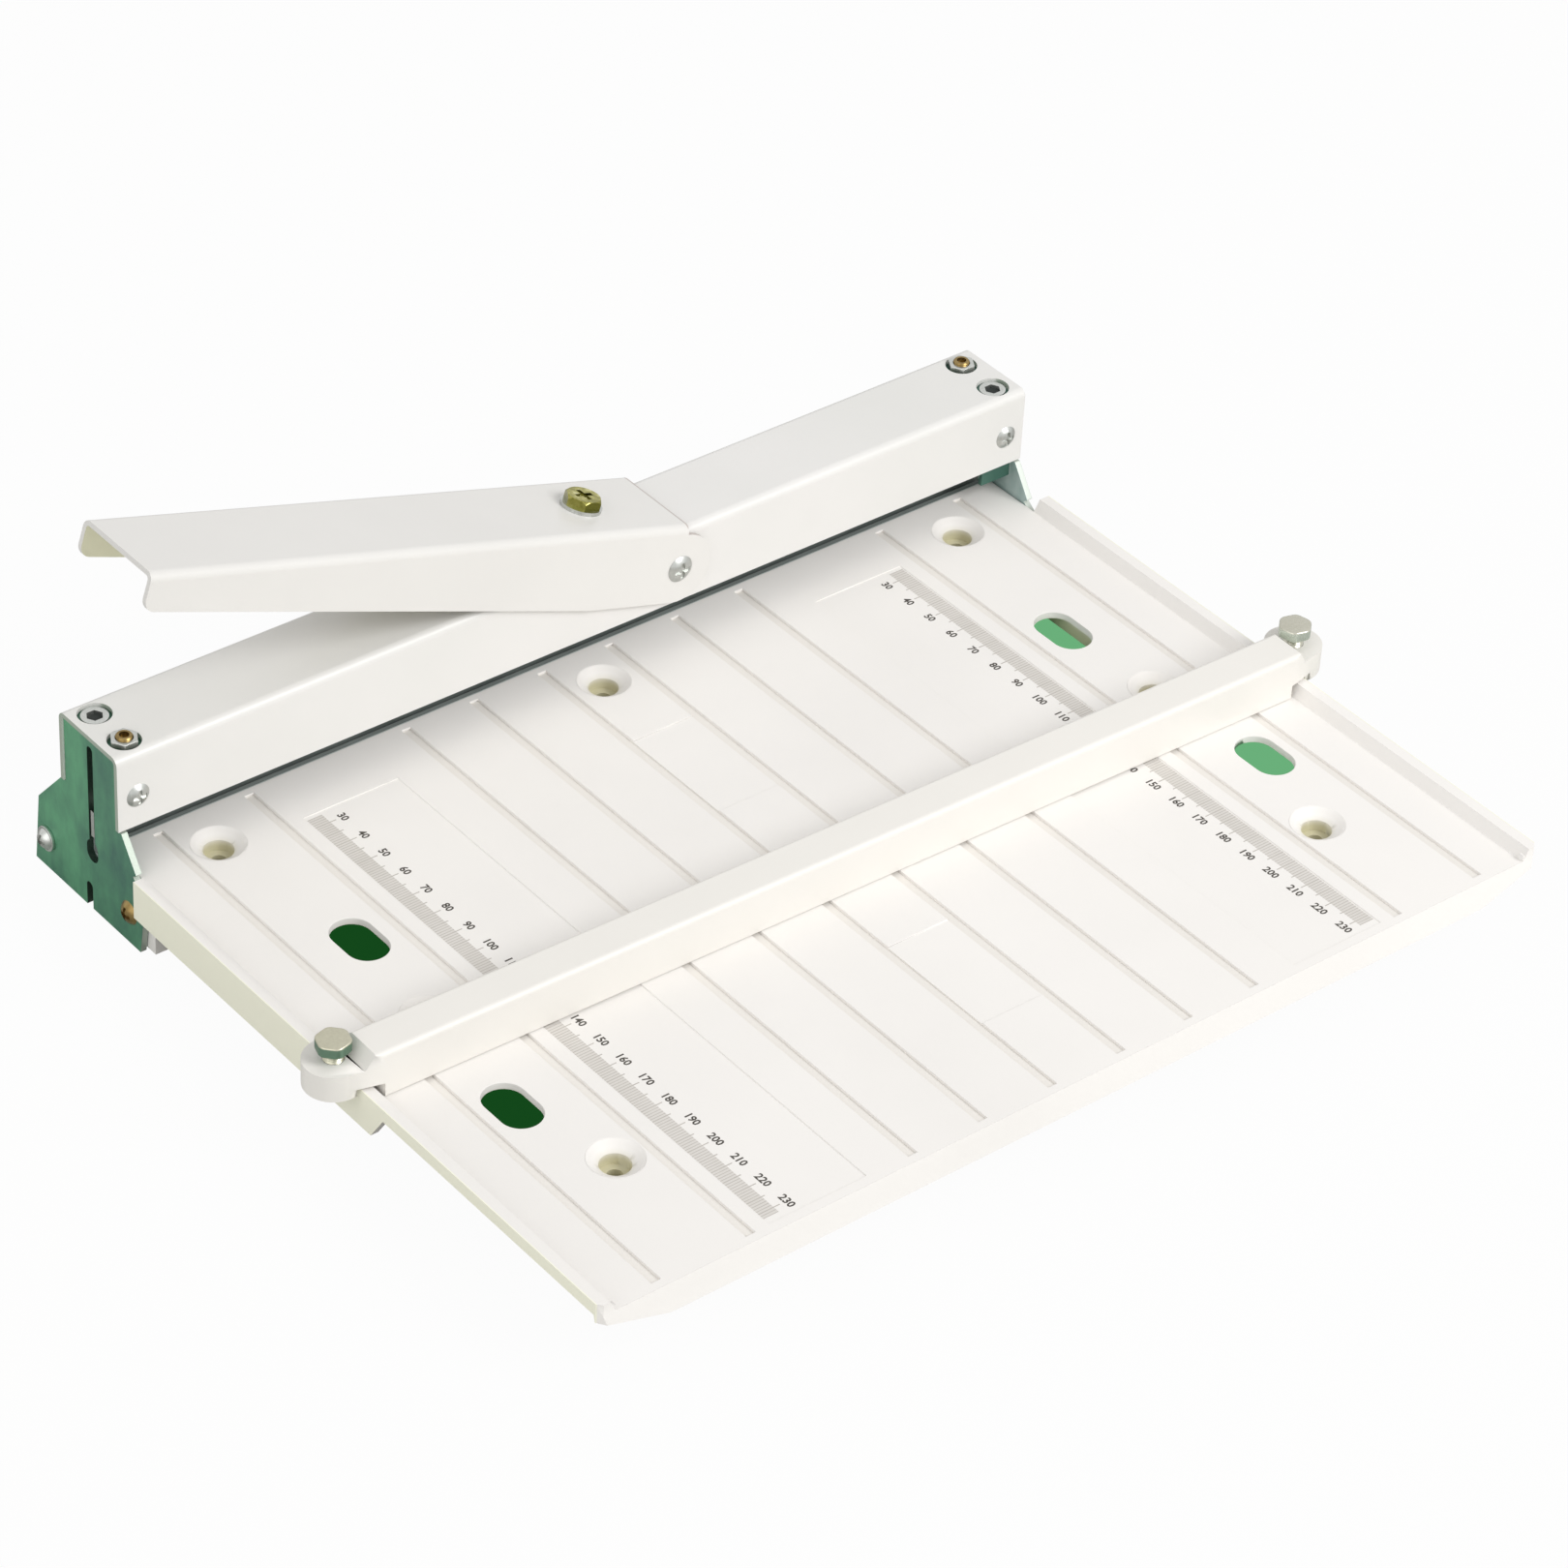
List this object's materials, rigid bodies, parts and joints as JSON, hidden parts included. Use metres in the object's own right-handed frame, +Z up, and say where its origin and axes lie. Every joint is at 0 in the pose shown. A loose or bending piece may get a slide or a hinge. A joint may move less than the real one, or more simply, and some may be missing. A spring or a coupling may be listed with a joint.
{
  "type": "paper creasing machine",
  "caption": "Hand-lever paper creasing machine with a grooved plastic bed, a slotted steel beam, a spring-returned blade and a sliding stop bar.",
  "frame": {"origin": "centre of the footprint on the desk", "axes": "+X along the beam to the right, +Y from the bed's front edge towards the beam, +Z up"},
  "size_m": [0.3547, 0.27, 0.1207],
  "materials": {
    "ivory_plastic": "satin",
    "white_paint": "satin",
    "green_zinc": "passivated",
    "steel": "zinc plated",
    "yellow_zinc": "plated",
    "black_matrix": "matte",
    "aluminium": "mill",
    "rubber": "matte"
  },
  "bodies": {
    "frame": {"table": "ivory_plastic", "rubber_feet": "rubber", "left_side_plate": "green_zinc", "right_side_plate": "green_zinc", "beam_cover": "white_paint", "cover_screws": "steel", "rear_tie_bar": "steel", "tie_bar_screws": "steel", "tie_bar_washers": "steel", "table_side_screws": "yellow_zinc", "die_rail": "steel", "crease_matrix": "black_matrix", "die_screws": "steel", "guide_posts": "steel", "depth_screws": "yellow_zinc", "depth_nuts": "steel", "pivot_screw": "steel", "pivot_nut": "steel", "pivot_washers": "steel", "left_return_spring": "steel", "right_return_spring": "steel"},
    "handle": {"handle": "white_paint", "pusher_bolt": "yellow_zinc", "pusher_washer": "steel", "pusher_nut": "steel"},
    "carriage": {"carriage_bar": "aluminium", "crease_blade": "steel", "blade_screws": "steel"},
    "stop": {"stop_bar": "ivory_plastic"},
    "left_bolt": {"left_clamp_bolt": "steel"},
    "right_bolt": {"right_clamp_bolt": "steel"}
  },
  "joints": [
    {"name": "handle_hinge", "type": "hinge", "parent": "frame", "child": "handle", "pos_m": [0.03, 0.105, 0.05035], "axis": [0, -1, 0], "range_deg": [0, 15]},
    {"name": "carriage_slide", "type": "slide", "parent": "frame", "child": "carriage", "axis": [0, 0, -1], "range_m": [0, 0.00825], "stiffness_N_per_m": 1500, "springref_m": -0.01, "deforming": ["left_return_spring", "right_return_spring"]},
    {"name": "stop_slide", "type": "slide", "parent": "frame", "child": "stop", "axis": [0, 1, 0], "range_m": [-0.092, 0.09]},
    {"name": "left_bolt_turn", "type": "hinge", "parent": "stop", "child": "left_bolt", "pos_m": [-0.16869, -0.02026, 0.035], "axis": [0, 0, 1], "range_deg": [-180, 180]},
    {"name": "right_bolt_turn", "type": "hinge", "parent": "stop", "child": "right_bolt", "pos_m": [0.16885, -0.02674, 0.035], "axis": [0, 0, 1], "range_deg": [-180, 180]}
  ],
  "couplings": [
    {"joint": "carriage_slide", "follows": "handle_hinge", "m_per_rad": 0.031387}
  ]
}
